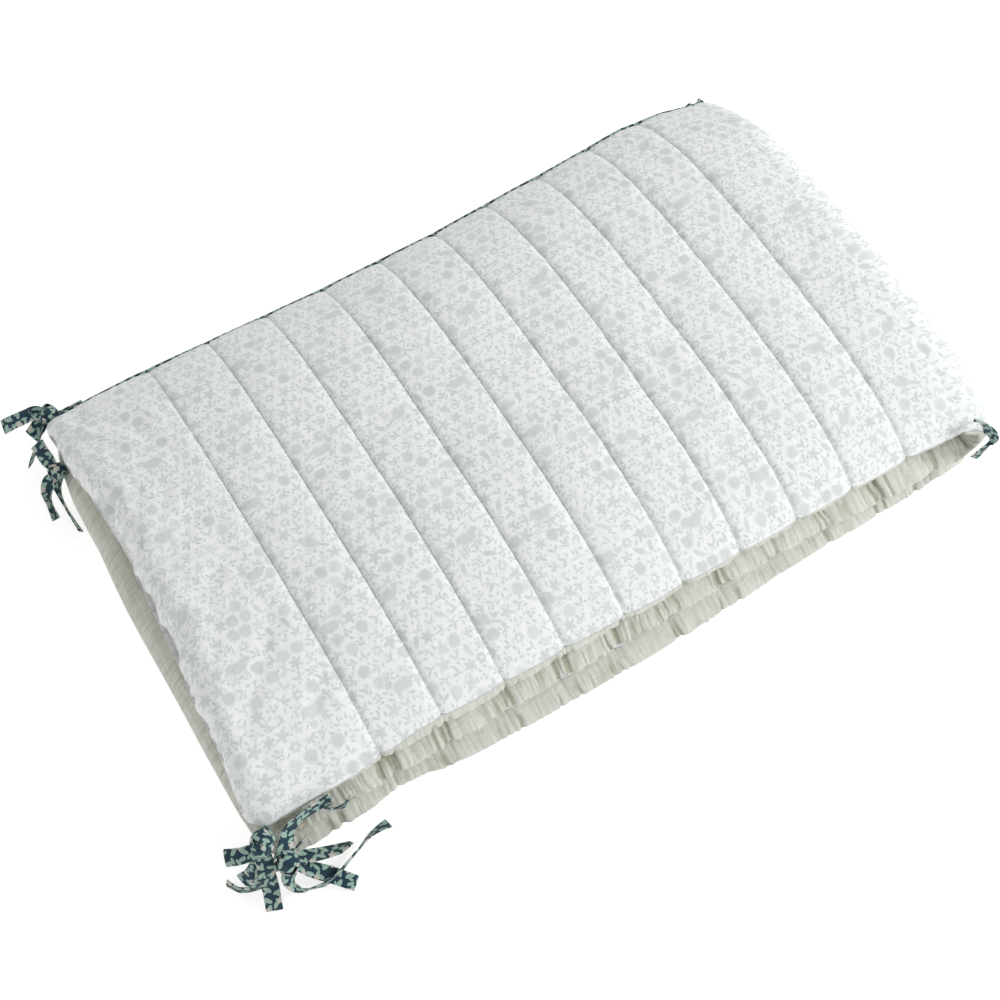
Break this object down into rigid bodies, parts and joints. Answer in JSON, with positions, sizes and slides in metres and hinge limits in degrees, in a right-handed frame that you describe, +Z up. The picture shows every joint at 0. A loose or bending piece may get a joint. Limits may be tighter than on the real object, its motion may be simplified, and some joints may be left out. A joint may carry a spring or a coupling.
{
  "type": "crib bumper",
  "caption": "Padded crib bumper, a channel-quilted strip of printed cotton and crinkled gauze with piping and fabric ties, folded back and forth into a flat stack.",
  "frame": {"origin": "bottom centre of the folded bumper's bounding box, on the surface it lies on", "axes": "+X along the folded length towards the end with the printed fold, +Y across the width towards the piped long edge, +Z up"},
  "size_m": [0.6156, 0.4128, 0.0929],
  "materials": {
    "white_cotton": "plain-weave printed cotton, matt",
    "sage_gauze": "crinkled double gauze, matt",
    "navy_floral": "fine printed cotton, matt"
  },
  "bodies": {
    "root": {"front_panel": "white_cotton", "back_panel": "sage_gauze", "piping": "navy_floral", "tie_end_a_front": "navy_floral", "tie_end_a_back": "navy_floral", "tie_left_fold_front": "navy_floral", "tie_left_fold_back": "navy_floral", "tie_right_fold_front": "navy_floral", "tie_right_fold_back": "navy_floral", "tie_end_b_front": "navy_floral", "tie_end_b_back": "navy_floral"}
  },
  "joints": []
}
